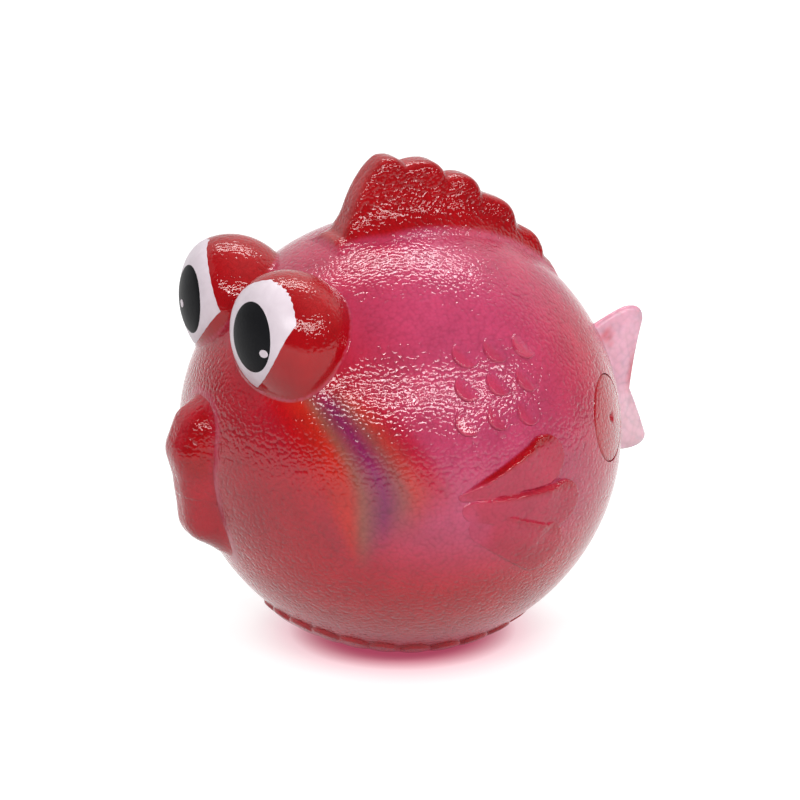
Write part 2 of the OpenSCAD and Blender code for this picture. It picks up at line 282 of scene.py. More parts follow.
def turned(profile, columns):
    """Points and quads of a closed profile of radius and height turned round the plug's axis."""
    turn = np.linspace(0, 2 * math.pi, columns, endpoint=False)
    way = np.cos(turn)[:, None] * PLUG_BACK + np.sin(turn)[:, None] * PLUG_UP
    rows = np.array(profile)
    verts = MID + rows[:, 0, None, None] * way + rows[:, 1, None, None] * PLUG_OUT
    # After the last row comes the first again
    faces = ring_faces(len(rows) + 1, columns) % (len(rows) * columns)
    return verts.reshape(-1, 3), faces


def relief(axes, xs, ys, height, keep, sunk=1.0):
    """A closed raised patch on the ball from arrays over a grid, and each point's place in the grid."""
    out, back, up = axes
    gx, gy = np.meshgrid(xs, ys, indexing="ij")
    deep = np.sqrt(np.maximum(BALL_R**2 - gx**2 - gy**2, 1))
    way = unit(deep[..., None] * out + gx[..., None] * back + gy[..., None] * up)
    height = height.reshape(gx.shape)
    keep = keep.reshape(gx.shape)
    cell = keep[:-1, :-1] & keep[1:, :-1] & keep[1:, 1:] & keep[:-1, 1:]
    top = MID + way * (BALL_R + height)[..., None]
    under = MID + way * (BALL_R - sunk)
    size = gx.size
    number = np.arange(size).reshape(gx.shape)
    a, b, c, d = number[:-1, :-1], number[1:, :-1], number[1:, 1:], number[:-1, 1:]
    faces = [np.stack([a, b, c, d], -1)[cell], np.stack([d, c, b, a], -1)[cell] + size]
    wide = np.pad(cell, 1)
    beside = [wide[1:-1, :-2], wide[2:, 1:-1], wide[1:-1, 2:], wide[:-2, 1:-1]]
    for there, p, q in zip(beside, (a, b, c, d), (b, c, d, a)):
        rim = cell & ~there
        faces.append(np.stack([q[rim], p[rim], p[rim] + size, q[rim] + size], -1))
    verts = np.concatenate([top.reshape(-1, 3), under.reshape(-1, 3)])
    used, faces = np.unique(np.concatenate(faces), return_inverse=True)
    return verts[used], faces.reshape(-1, 4), used % size


# Forms that the ball carries, as distances in millimetres

# The left eye's middle: its distance from the ball's middle, how high it stands from there, and how far aside
EYE_R = BALL_R - 0.8
EYE_RISE = EYE_R * math.sin(math.radians(38))
EYE_X = 13.7
EYE_MID = np.array([EYE_X, -math.sqrt(EYE_R**2 - EYE_X**2 - EYE_RISE**2), MID[2] + EYE_RISE])
# Half of an eye's width, depth and height, and how far it leans
EYE_HALF = np.array([12.8, 12.8, 13.6])
EYE_LEAN = math.radians(8)
# The flatter face of an eye: its place before the middle, its radius, its edge's rounding, and where it looks
EYE_FACE = 9.6
EYE_FACE_R = 18.0
EYE_FACE_ROUND = 1.6
GAZE, GAZE_X, GAZE_Y = facing(8, -10)


def eye_form(p):
    """The left eye: a leaning ellipsoid with a flatter face where it looks."""
    q = p - EYE_MID
    c, s = math.cos(EYE_LEAN), math.sin(EYE_LEAN)
    local = np.stack([q[:, 0], c * q[:, 1] + s * q[:, 2], -s * q[:, 1] + c * q[:, 2]], axis=1)
    k = np.linalg.norm(local / EYE_HALF, axis=1)
    dome = (k - 1) * k / np.maximum(np.linalg.norm(local / EYE_HALF**2, axis=1), TINY)
    face = np.linalg.norm(q - GAZE * (EYE_FACE - EYE_FACE_R), axis=1) - EYE_FACE_R
    return soft_max(dome, face, EYE_FACE_ROUND)


def both_eyes(p):
    return eye_form(np.stack([np.abs(p[:, 0]), p[:, 1], p[:, 2]], axis=1))


# Core points of the lips on the middle plane: in front of the ball's middle, and above it
UPPER_LIP = np.array([(43.2, 2.4), (41.8, -2.4), (41.8, 5.9)])
LOWER_LIP = np.array([(41.2, -7.2), (40.9, -10.8), (37.0, -13.1)])
LIP_R = 5.6
LIP_HALF_W = 0.9
# The height of the mouth line over the ball's middle, and how widely the lips run together there
MOUTH_UP = -6.0
MOUTH_WAIST = 2.4
# How far each lip laps past the mouth line, how much the lower one draws in, and how many laps before its end
MOUTH_LAP = 0.5
LIP_TUCK = 0.06
TUCK_LAPS = 1.6


def lip_form(x, flat, core):
    """A thick lip: a triangle of core points swept sideways and rounded all over."""
    away = outline_distance(flat, core)
    out = np.maximum(np.abs(x) - LIP_HALF_W, 0)
    return np.hypot(out, np.maximum(away, 0)) + np.minimum(away, 0) - LIP_R


def lips_form(p):
    """Both lips as one mass with a shallow waist at the mouth."""
    flat = np.stack([-p[:, 1], p[:, 2] - MID[2]], axis=1)
    upper = lip_form(p[:, 0], flat, UPPER_LIP)
    lower = lip_form(p[:, 0], flat, LOWER_LIP)
    return soft_min(upper, lower, MOUTH_WAIST)


def half_lips(side):
    """The lips' mass above the mouth line, side 1, or below it, side -1."""
    def form(p):
        past = side * (MID[2] + MOUTH_UP - p[:, 2]) - MOUTH_LAP
        tuck = LIP_TUCK * smooth(past / MOUTH_LAP + TUCK_LAPS) if side < 0 else 0
        return np.maximum(lips_form(p) + tuck, past)
    return form


# The back fin: its height, then the angle behind the top and the share of that height of each lobe and notch
FIN_H = 13.2
LOBE_ANGLE = [-4.8, 3.6, 13.0, 23.6, 35.2]
LOBE_SHARE = [1, 0.89, 0.71, 0.49, 0.26]
NOTCH_ANGLE = [-0.3, 9.7, 19.0, 31.2]
NOTCH_SHARE = [0.86, 0.66, 0.5, 0.22]
FIN_FRONT = -18.2
FIN_BACK = 41.2
# How steeply the fin's front and its lobes round off
FRONT_POWER = 1.4
LOBE_POWER = 2.4
# Half of the fin's thickness at its crest, and what its foot adds to it
FIN_HALF_T = 3.0
FIN_FOOT = 3.4
# The foot: how high it climbs, how fast it fades, its most, the height of fin with all of it, and its least
FOOT_REACH = 0.95
FOOT_POWER = 1.3
FOOT_UNDER = 1.1
FOOT_FULL_AT = 9
FOOT_LEAST = 0.35
# The least height that the fin's thickness goes by
FIN_LEAST = 1.5
# How far the lobes swell towards their tops, from which share of the height, and how far the notches draw in
LOBE_SWELL = 0.7
SWELL_START = 0.8
NOTCH_DRAW = 0.25
# How widely the fin's crest and ends are rounded, and how steep its flanks count
CREST_ROUND = 2.0
END_ROUND = 0.5
FLANK_SLOPE = 0.9
# Millimetres to a degree round the ball
DEGREE = 0.74
# Half of the degrees that the crest's slope is measured over
SLOPE_STEP = 0.4


def fin_crest(angle):
    """Height of the back fin's lobed crest over the ball, by the angle behind the top."""
    height = np.zeros_like(angle)
    low_angles = [FIN_FRONT, *NOTCH_ANGLE, FIN_BACK]
    low_shares = [0, *NOTCH_SHARE, 0]
    for i, (at, share) in enumerate(zip(LOBE_ANGLE, LOBE_SHARE)):
        start, end = low_angles[i:i + 2]
        before = np.clip((at - angle) / (at - start), 0, 1) ** (LOBE_POWER if i else FRONT_POWER)
        after = np.clip((angle - at) / (end - at), 0, 1) ** LOBE_POWER
        lobe = share + (low_shares[i] - share) * before + (low_shares[i + 1] - share) * after
        height = np.where((angle >= start) & (angle < end), lobe, height)
    return height * FIN_H


def fin_envelope(angle):
    """The fin's height without its notches, and no less than FIN_LEAST."""
    height = FIN_H * np.interp(angle, [FIN_FRONT, *LOBE_ANGLE, FIN_BACK], [0, *LOBE_SHARE, 0])
    return np.maximum(height, FIN_LEAST)


def fin_form(p):
    """The back fin: rounded lobes on a thick wall that spreads into a wide foot."""
    q = p - MID
    high = np.hypot(q[:, 1], q[:, 2])
    angle = np.degrees(np.arctan2(q[:, 1], q[:, 2]))
    rise = high - np.sqrt(np.maximum(BALL_R**2 - q[:, 0] ** 2, 1))
    crest = fin_crest(angle)
    run = np.radians(2 * SLOPE_STEP) * np.maximum(high, BALL_R / 2)
    slope = (fin_crest(angle + SLOPE_STEP) - fin_crest(angle - SLOPE_STEP)) / run
    over = (rise - crest) / np.sqrt(1 + slope**2)
    tall = fin_envelope(angle)
    foot = np.clip(1 - rise / (FOOT_REACH * tall), 0, FOOT_UNDER)
    half = FIN_HALF_T + FIN_FOOT * foot**FOOT_POWER * np.clip(tall / FOOT_FULL_AT, FOOT_LEAST, 1)
    lobe = np.clip((crest - SWELL_START * tall) / ((1 - SWELL_START) * tall), 0, 1)
    swell = LOBE_SWELL * lobe * np.clip(rise / tall, 0, 1)
    side = np.abs(q[:, 0]) - half - swell + NOTCH_DRAW
    ends = np.maximum(FIN_FRONT - 1 - angle, angle - FIN_BACK - 1) * DEGREE
    return soft_max(soft_max(over, side * FLANK_SLOPE, CREST_ROUND), ends, END_ROUND)


# The tail's length behind the ball, its heights over and under the middle, and its outline in shares of them
TAIL_L = 10.0
TAIL_UP = 19.0
TAIL_DOWN = 10.8
TAIL_ROOT = [-TAIL_L, -0.6 * TAIL_DOWN]
TAIL_TOP = [-TAIL_L, 0.55 * TAIL_UP]
TAIL_CROWN = [0.6 * TAIL_L, TAIL_UP]
TAIL_TIP = [TAIL_L, 0.84 * TAIL_UP]
TAIL_NOTCH = [0.73 * TAIL_L, 0.1 * TAIL_UP]
TAIL_LOW = [1.1 * TAIL_L, -0.75 * TAIL_DOWN]
TAIL_FOOT = [0.6 * TAIL_L, -TAIL_DOWN]
TAIL_LOOP = np.concatenate([
    np.array([TAIL_ROOT]),
    bow(TAIL_TOP, [0.12 * TAIL_L, 0.94 * TAIL_UP], TAIL_CROWN),
    bow(TAIL_CROWN, [TAIL_L, 1.02 * TAIL_UP], TAIL_TIP),
    bow(TAIL_TIP, [0.82 * TAIL_L, 0.5 * TAIL_UP], TAIL_NOTCH),
    bow(TAIL_NOTCH, [0.95 * TAIL_L, -0.3 * TAIL_DOWN], TAIL_LOW),
    bow(TAIL_LOW, [1.1 * TAIL_L, -TAIL_DOWN], TAIL_FOOT),
    bow(TAIL_FOOT, [0, -0.9 * TAIL_DOWN], TAIL_ROOT),
])
# Half of the tail's thickness at its edge, and what its body, root and rays add to it
TAIL_HALF_T = 0.75
TAIL_BODY = 0.75
TAIL_ROOT_T = 0.6
TAIL_RAY = 0.1
# How far in from the edge the body and the rays are full, and how far from the ball the root reaches
BODY_INSET = 4
RAY_INSET = 2
ROOT_REACH = 7
# How far before the ball's rear the rays meet, and how closely they follow each other
RAY_START = 9
RAY_RATE = 0.3
TAIL_ROUND = 1.0


def tail_plane(p):
    """Places behind the rear of the ball and over its middle."""
    return np.stack([p[:, 1] - BALL_R, p[:, 2] - MID[2]], axis=1)


def tail_rays(flat):
    """Rays that fan out from the tail's root, from -1 to 1."""
    return np.sin(np.degrees(np.arctan2(flat[:, 1], flat[:, 0] + RAY_START)) * RAY_RATE)


def tail_form(p):
    """The tail: a thin forked blade, thicker at its root, with faint rays."""
    flat = tail_plane(p)
    edge = outline_distance(flat, TAIL_LOOP)
    root = np.clip(1 - from_ball(p) / ROOT_REACH, 0, 1)
    half = TAIL_HALF_T + TAIL_BODY * smooth(-edge / BODY_INSET) + TAIL_ROOT_T * root**2
    half = half + TAIL_RAY * tail_rays(flat) * smooth(-edge / RAY_INSET)
    return soft_max(edge, np.abs(p[:, 0]) - half, TAIL_ROUND)


# How widely each form sweeps out into the ball, how deep the sweep runs under the skin, and where a form ends
EYE_SWEEP = 1.4
LIP_SWEEP = 2.8
FIN_SWEEP = 5.5
TAIL_SWEEP = 2.4
SWEEP_SUNK = 0.4
ROOT_DEPTH = 1.4


def rooted(form, sweep):
    """A form that sweeps out into the ball round its foot, and ends under the skin."""
    def whole(p):
        over = from_ball(p)
        own = form(p)
        swept = soft_min(own, over + SWEEP_SUNK, sweep)
        return np.maximum(np.maximum(swept, -over - ROOT_DEPTH), own - sweep)
    return whole


# Colours of the rubber, by place

FLANK = linear(184, 64, 100)
REAR = linear(188, 56, 76)
FRONT = linear(172, 12, 34)
# Painted shade and glow: the belly's deeper red stands in for shade beneath the ball and light glowing
# through the rubber
BELLY_SHADE_AND_GLOW = linear(190, 6, 30)
DEEP = linear(162, 2, 12)
ROSE = linear(178, 24, 42)
# Painted sheen: a paler grey-red for the frosted tops, standing in for their dull reflection of the light
FROST_SHEEN = linear(172, 62, 64)
PINK = linear(206, 92, 128)
PALE = linear(228, 178, 196)
STREAK = linear(212, 70, 78)
PALEST = linear(246, 216, 224)
# The airbrushed cheek: bands by their angle tailward of a middle line, and how low each reaches
CHEEK_BANDS = [-16, -8.7, -5.5, 0, 4.7, 8, 13]
CHEEK_LOWEST = [1, -15, -15, -9, -5, -4, 0]
CHEEK_COLOURS = np.array([linear(*colour) for colour in (
    (188, 0, 8), (194, 36, 12), (146, 82, 66), (124, 18, 86), (146, 72, 66), (186, 54, 40), (176, 16, 44),
)])
CHEEK_SHARE = 0.85
# The bands' middle line: its azimuth low down, how far forward it has bent at a height, how fast, and its top
CHEEK_AZ = 60.5
CHEEK_BEND = 12
CHEEK_BEND_AT = 20
CHEEK_POWER = 1.6
CHEEK_TOP = 30


def by_band(offset, values):
    return np.interp(offset, CHEEK_BANDS, values)


def ball_colours(p):
    """The skin: pink flanks, a redder front, a deeper red belly of painted shade and glow, and airbrushed
    bands on each cheek.
    """
    q = (p - MID) / BALL_R
    azimuth = np.degrees(np.arctan2(np.abs(q[:, 0]), -q[:, 1]))
    elevation = np.degrees(np.arcsin(np.clip(q[:, 2], -1, 1)))
    colours = mix(FRONT, FLANK, fade(azimuth, 38, 82))
    colours = mix(colours, REAR, fade(azimuth, 95, 140))
    # Painted shade and glow on the belly, growing downwards
    colours = mix(colours, BELLY_SHADE_AND_GLOW, fade(elevation, -4, -30))
    colours = mix(colours, FLANK, 0.6 * fade(elevation, 28, 52))
    bend = (np.clip(elevation, 0, CHEEK_TOP) / CHEEK_BEND_AT) ** CHEEK_POWER
    offset = azimuth - (CHEEK_AZ - CHEEK_BEND * bend)
    bands = np.stack([by_band(offset, CHEEK_COLOURS[:, i]) for i in range(3)], axis=1)
    mask = fade(elevation - by_band(offset, CHEEK_LOWEST), -7, 7) * fade(elevation, CHEEK_TOP, CHEEK_TOP - 8)
    mask = mask * fade(offset, -23, -16) * fade(offset, 19, 13)
    return mix(colours, bands, CHEEK_SHARE * mask)


# Rubber, ink and plastic

def node(tree, kind, **values):
    made = tree.nodes.new(kind)
    for key, value in values.items():
        if hasattr(made, key) and key not in made.inputs:
            setattr(made, key, value)
        else:
            made.inputs[key].default_value = value
    return made


def new_material(name):
    material = bpy.data.materials.new(name)
    material.use_nodes = True
    tree = material.node_tree
    return material, tree, tree.nodes["Principled BSDF"]


def ranged(tree, source, low, high, to_low, to_high):
    """A value stretched from one range to another."""
    limits = {"From Min": low, "From Max": high, "To Min": to_low, "To Max": to_high}
    made = node(tree, "ShaderNodeMapRange", **limits)
    tree.links.new(source, made.inputs["Value"])
    return made.outputs["Result"]


def combined(tree, operation, *parts):
    """A value worked out from sockets and numbers."""
    made = node(tree, "ShaderNodeMath", operation=operation)
    for socket, part in zip(made.inputs, parts):
        if isinstance(part, float):
            socket.default_value = part
        else:
            tree.links.new(part, socket)
    return made.outputs["Value"]


# The rubber's clouds, pebbles and finer grain, their effect on tone (the pebbles' as painted shade in their
# creases) and roughness, and how light spreads
CLOUD_SCALE = 140.0
NOISE_RANGE = (0.3, 0.7)
CLOUD_SHADE = (0.9, 1.1)
PEBBLE_RANGE = (0.1, 0.7)
PEBBLE_SHADE = (1.06, 0.88)
FINE_SHARE = 0.08
ROUGH_SPREAD = np.array([-0.02, 0.03])
LIGHT_REACH = 0.002
LIGHT_SPREAD = (1.0, 0.25, 0.35)


def rubber(name, pitch, depth, roughness, through, shine):
    """Soft rubber: colour and grain kept on the mesh, pebbles at the given pitch and depth in metres."""
    material, tree, shader = new_material(name)
    link = tree.links.new
    place = node(tree, "ShaderNodeTexCoord").outputs["Object"]
    tint = node(tree, "ShaderNodeAttribute", attribute_name="tint")
    grain = node(tree, "ShaderNodeAttribute", attribute_name="grain")
    cloud = node(tree, "ShaderNodeTexNoise", Scale=CLOUD_SCALE, Detail=3.0)
    link(place, cloud.inputs["Vector"])
    # Pebbles: small domes of uneven shape with a faint finer grain over them
    warp = node(tree, "ShaderNodeTexNoise", Scale=0.5 / pitch, Detail=1.0)
    link(place, warp.inputs["Vector"])
    bend = node(tree, "ShaderNodeVectorMath", operation="MULTIPLY_ADD")
    bend.inputs[1].default_value = (0.7 * pitch,) * 3
    link(warp.outputs["Color"], bend.inputs[0])
    link(place, bend.inputs[2])
    cells = node(tree, "ShaderNodeTexVoronoi", feature="SMOOTH_F1", Scale=1 / pitch, Smoothness=0.4)
    link(bend.outputs["Vector"], cells.inputs["Vector"])
    dome = combined(tree, "MULTIPLY", cells.outputs["Distance"], cells.outputs["Distance"])
    fine = node(tree, "ShaderNodeTexNoise", Scale=1.9 / pitch, Detail=1.5)
    link(place, fine.inputs["Vector"])
    height = combined(tree, "MULTIPLY_ADD", fine.outputs["Fac"], FINE_SHARE, dome)
    height = combined(tree, "MULTIPLY", height, grain.outputs["Fac"])
    bump = node(tree, "ShaderNodeBump", invert=True, Strength=1.0, Distance=depth)
    link(height, bump.inputs["Height"])
    link(bump.outputs["Normal"], shader.inputs["Normal"])
    # Clouds of thinner and thicker rubber vary the tone at random, and the creases between the pebbles get
    # painted shade
    cloudy = ranged(tree, cloud.outputs["Fac"], *NOISE_RANGE, *CLOUD_SHADE)
    pebble_crease_shade = ranged(tree, height, *PEBBLE_RANGE, *PEBBLE_SHADE)
    shade = combined(tree, "MULTIPLY", cloudy, pebble_crease_shade)
    colour = node(tree, "ShaderNodeVectorMath", operation="MULTIPLY")
    link(tint.outputs["Color"], colour.inputs[0])
    link(shade, colour.inputs[1])
    link(colour.outputs["Vector"], shader.inputs["Base Color"])
    rough = ranged(tree, fine.outputs["Fac"], *NOISE_RANGE, *(roughness + ROUGH_SPREAD))
    link(rough, shader.inputs["Roughness"])
    shader.inputs["Specular IOR Level"].default_value = shine
    shader.inputs["Subsurface Weight"].default_value = through
    shader.inputs["Subsurface Radius"].default_value = LIGHT_SPREAD
    shader.inputs["Subsurface Scale"].default_value = LIGHT_REACH
    return material


def mottled(name, low, high, roughness, scale, bump_depth, shine=0.5, clear=0.0):
    """A printed or moulded surface: two close colours in a fine mottle, with a slight unevenness."""
    material, tree, shader = new_material(name)
    link = tree.links.new
    place = node(tree, "ShaderNodeTexCoord").outputs["Object"]
    mottle = node(tree, "ShaderNodeTexNoise", Scale=scale, Detail=4.0, Distortion=0.6)
    link(place, mottle.inputs["Vector"])
    ramp = node(tree, "ShaderNodeValToRGB")
    ramp.color_ramp.elements[0].color = (*low, 1)
    ramp.color_ramp.elements[1].color = (*high, 1)
    link(mottle.outputs["Fac"], ramp.inputs["Fac"])
    link(ramp.outputs["Color"], shader.inputs["Base Color"])
    fine = node(tree, "ShaderNodeTexNoise", Scale=3.5 * scale, Detail=2.0)
    link(place, fine.inputs["Vector"])
    bump = node(tree, "ShaderNodeBump", Strength=0.4, Distance=bump_depth)
    link(fine.outputs["Fac"], bump.inputs["Height"])
    link(bump.outputs["Normal"], shader.inputs["Normal"])
    shader.inputs["Roughness"].default_value = roughness
    shader.inputs["Specular IOR Level"].default_value = shine
    shader.inputs["Transmission Weight"].default_value = clear
    return material


SKIN = rubber("skin_rubber", pitch=0.00074, depth=0.00012, roughness=0.07, through=0.25, shine=0.5)
THICK = rubber("thick_rubber", pitch=0.00074, depth=0.00013, roughness=0.07, through=0.2, shine=0.4)
THIN = rubber("thin_rubber", pitch=0.0011, depth=0.0001, roughness=0.2, through=0.4, shine=0.4)
# The scale of the mottle and the depth of the unevenness
INK = {"scale": 420, "bump_depth": 0.00006}
MOULDED = {"scale": 260, "bump_depth": 0.00005}
WHITE_INK = mottled("white_print", linear(214, 198, 207), linear(234, 221, 229), 0.35, **INK)
BLACK_INK = mottled("black_print", linear(20, 20, 22), linear(31, 31, 34), 0.4, **INK, shine=0.05)
PLASTIC = mottled("housing_plastic", linear(226, 226, 220), linear(244, 244, 240), 0.3, **MOULDED, clear=0.25)
FILM = mottled("reed_film", linear(214, 176, 92), linear(232, 200, 122), 0.25, **MOULDED, clear=0.35)


# The ball's skin, wound round the axis of the plug so that its hole is a clean circle

PLUG_OUT, PLUG_BACK, PLUG_UP = facing(137, 9.3)
SEAT_R = 8.5
NECK_R = 6.5
PLUG_FLOOR = BALL_R - 1.8
# The visible gap round the soft plug, which fills its seat more than in the solids
PLUG_GAP = 0.14
SKIN_ROWS = 190
SKIN_COLUMNS = 380
INNER_ROWS = 46
# The angle of a hair-fine bore at the far pole, so that every row is a ring
POLE_GAP = 0.0006


def make_skin():
    inner_r = BALL_R - WALL
    polar = np.linspace(math.asin(SEAT_R / BALL_R), math.pi - POLE_GAP, SKIN_ROWS)
    polar_in = np.linspace(math.pi - POLE_GAP, math.asin(NECK_R / inner_r), INNER_ROWS)
    outer = [(BALL_R * math.sin(a), BALL_R * math.cos(a)) for a in polar]
    inner = [(inner_r * math.sin(a), inner_r * math.cos(a)) for a in polar_in]
    # Rows close to the corners of the seat keep them crisp
    seat = [(NECK_R, PLUG_FLOOR - 0.6), (NECK_R, PLUG_FLOOR), (NECK_R + 1, PLUG_FLOOR)]
    seat += [(SEAT_R - 0.1, PLUG_FLOOR), (SEAT_R, PLUG_FLOOR + 0.3)]
    verts, faces = turned(outer + inner + seat, SKIN_COLUMNS)
    outer_end = SKIN_ROWS * SKIN_COLUMNS
    inner_end = outer_end + INNER_ROWS * SKIN_COLUMNS
    lowest = np.zeros(len(verts))
    lowest[outer_end:inner_end] = WALL
    verts[:, 2] = np.maximum(verts[:, 2], lowest)
    shell = verts[:outer_end]
    verts[:outer_end] = shell + unit(shell - MID) * face_swell(shell)[:, None]
    obj = make_piece("skin", verts, faces)
    # A pink painted highlight on the fillet round the lips, a deep red painted shade in the crease round the
    # back fin's foot, and shallower pebbles beside eyes and lips
    from_lips = lips_form(verts)
    colours = mix(ball_colours(verts), PINK, 0.3 * fade(np.abs(from_lips - 1.7), 1.5, 0))
    # Painted shade: deep red in the crease round the back fin's foot
    colours = mix(colours, DEEP, 0.7 * fade(fin_form(verts), 2.6, 0.8))
    paint(obj, colours, 0.5 + 0.5 * fade(np.minimum(both_eyes(verts), from_lips), 1.2, 3.2))
    dress(obj, SKIN, "body_skin")


make_skin()


# The eyes and their prints

# The printed white: its width, its reach up and down, and the point that its rows close in on
WHITE_W = 20.4
WHITE_TOP = 13.4
WHITE_TIP = 6.3
WHITE_MID = np.array([0.0, 4.0])
# The right pupil is printed nearer the middle of the toy than the left one
PUPIL_MID = {"left": np.array([1.3, 4.1]), "right": np.array([-1.7, 3.6])}
PUPIL_W = 11.6
PUPIL_H = 12.8
GLINT_D = 1.9
# The glint of each pupil, outward and up from its middle, as shares of its width and height
GLINT_AT = {"left": np.array([0.38, -0.15]), "right": np.array([0.12, -0.07])}
# How far the top of each pupil leans towards the middle of the toy; the right one leans away
PUPIL_LEAN = {"left": math.radians(12), "right": math.radians(-16)}
# How far before an eye's middle its face is sought, and in how many halvings
EYE_REACH = 16.0
HALVINGS = 34


def on_eye(flat, over):
    """Points of the gaze plane carried forward onto the left eye's face, some way over it."""
    start = EYE_MID + flat[:, 0, None] * GAZE_X + flat[:, 1, None] * GAZE_Y
    low, high = np.zeros(len(flat)), np.full(len(flat), EYE_REACH)
    for _ in range(HALVINGS):
        half = (low + high) / 2
        outside = eye_form(start + half[:, None] * GAZE) > 0
        high = np.where(outside, half, high)
        low = np.where(outside, low, half)
    hit = start + low[:, None] * GAZE
    return hit + unit(slope_of(eye_form, hit)) * np.asarray(over)[:, None]


def print_layer(loop, middle, over, under):
    """A thin closed layer on the eye, thinning out at its edge."""
    shares = np.array([0.15, 0.3, 0.45, 0.6, 0.72, 0.82, 0.9, 0.96, 1.0])
    rows, columns = len(shares), len(loop)
    flat = np.concatenate([middle + s * (loop - middle) for s in shares] + [middle[None]])
    lift = np.repeat(over - (over - under - 0.02) * fade(shares, 0.94, 1), columns)
    top = on_eye(flat, np.append(lift, over))
    low = on_eye(flat, np.full(len(flat), under - 0.25))
    count = len(top)
    first = np.arange(columns)
    ahead = (first + 1) % columns
    fan = np.stack([first, ahead, np.full(columns, count - 1)], axis=1)
    quads = ring_faces(rows, columns)
    edge = (rows - 1) * columns
    rim = np.stack([edge + first, edge + ahead, edge + ahead + count, edge + first + count], axis=1)
    faces = []
    for group in (quads, quads + count, fan, fan + count, rim):
        faces += group.tolist()
    return np.concatenate([top, low]), faces


def white_loop():
    """A leaf with a round top, two side corners, a pointed lower end and a slightly ragged outer edge."""
    w, top, tip = WHITE_W, WHITE_TOP, WHITE_TIP
    low, outer = [0.02 * w, -tip], [0.5 * w, 0.54 * top]
    crown, inner = [0.02 * w, top], [-0.55 * w, 0.22 * top]
    loop = np.concatenate([
        bow(low, [0.42 * w, -0.2 * tip], outer, 40),
        bow(outer, [0.35 * w, 0.98 * top], crown, 40),
        bow(crown, [-0.38 * w, 0.9 * top], inner, 40),
        bow(inner, [-0.36 * w, -0.5 * tip], low, 40),
    ])
    t = np.linspace(0, 2 * math.pi, len(loop), endpoint=False)
    ragged = np.exp(-((t - 2.6) / 0.3) ** 2)
    wave = 0.025 * np.sin(31 * t) + 0.05 * ragged * (np.sin(37 * t + 1) + 0.7 * np.sin(53 * t))
    return loop + wave[:, None] * unit(loop)


def oval(middle, width, height, lean, count=96):
    t = np.linspace(0, 2 * math.pi, count, endpoint=False)
    x, y = width / 2 * np.cos(t), height / 2 * np.sin(t)
    c, s = math.cos(lean), math.sin(lean)
    return middle + np.stack([c * x - s * y, s * x + c * y], axis=1)


def make_eyes():
    room = EYE_HALF + EYE_SWEEP + 1.2
    dome, dome_faces = surface(rooted(eye_form, EYE_SWEEP), EYE_MID - room, EYE_MID + room, step=0.6)
    q = dome - EYE_MID
    over = from_ball(dome)
    # Frosted and more pebbled on top behind the face, with a paler painted sheen there, and a pink painted
    # highlight on the fillet round the foot
    frost_sheen = fade(q[:, 2], 3, 11) * fade(q @ GAZE, 5, -3)
    colours = mix(DEEP, FROST_SHEEN, 0.35 * frost_sheen)
    # Painted highlight: a pink band on the fillet where the dome meets the ball
    colours = mix(colours, PINK, 0.35 * fade(np.abs(over - 0.25), 0.3, 0))
    colours = mix(ball_colours(dome), colours, fade(over, -0.1, 0.3))
    grain = 0.1 + 0.7 * fade(q[:, 2], -1, 6) * fade(q @ GAZE, 6, 1)
    for side, turn in SIDES.items():
        pupil_mid = PUPIL_MID[side]
        glint_mid = pupil_mid + GLINT_AT[side] * np.array([PUPIL_W, PUPIL_H])
        pupil = oval(pupil_mid, PUPIL_W, PUPIL_H, PUPIL_LEAN[side])
        glint = oval(glint_mid, GLINT_D, 0.8 * GLINT_D, 0)
        # Each print's outline and middle, the heights of its top and foot over the eye, and its ink
        layers = {
            "eye_white": (white_loop(), WHITE_MID, 0.12, 0.0, WHITE_INK, "white_ink"),
            "pupil": (pupil, pupil_mid, 0.22, 0.1, BLACK_INK, "black_ink"),
            "eye_glint": (glint, glint_mid, 0.3, 0.2, WHITE_INK, "white_ink"),
        }
        obj = make_piece(f"{side}_eye_dome", turn(dome), dome_faces)
        paint(obj, colours, grain)
        dress(obj, THICK, f"{side}_eye")
        for name, (loop, middle, lift, under, material, slot) in layers.items():
            verts, faces = print_layer(loop, middle, lift, under)
            layer = make_piece(f"{side}_{name}_print", turn(verts), faces)
            dress(layer, material, f"{side}_{name}")


make_eyes()


# The lips

def make_lips():
    low = (-12, -51, MID[2] - 25)
    high = (12, -26, MID[2] + 17)
    for name, side in (("upper_lip", 1), ("lower_lip", -1)):
        verts, faces = surface(rooted(half_lips(side), LIP_SWEEP), low, high, step=0.5)
        obj = make_piece(name + "_form", verts, faces)
        up = verts[:, 2] - MID[2]
        over = from_ball(verts)
        # The sides are deeper in colour and in pebbles at the top, and smoother below
        aside = fade(np.abs(verts[:, 0]), 2.5, 5)
        patch = aside * fade(up, -3, 1)
        colours = mix(ROSE, DEEP, 0.35 + 0.65 * patch)
        colours = mix(ball_colours(verts), colours, fade(over, 0.3, 0.9))
        paint(obj, colours, 0.75 + 0.35 * patch - 0.3 * aside * fade(up, -3, -7))
        dress(obj, THICK, name)


make_lips()


# The back fin, which rides on the body that the squeeze moves

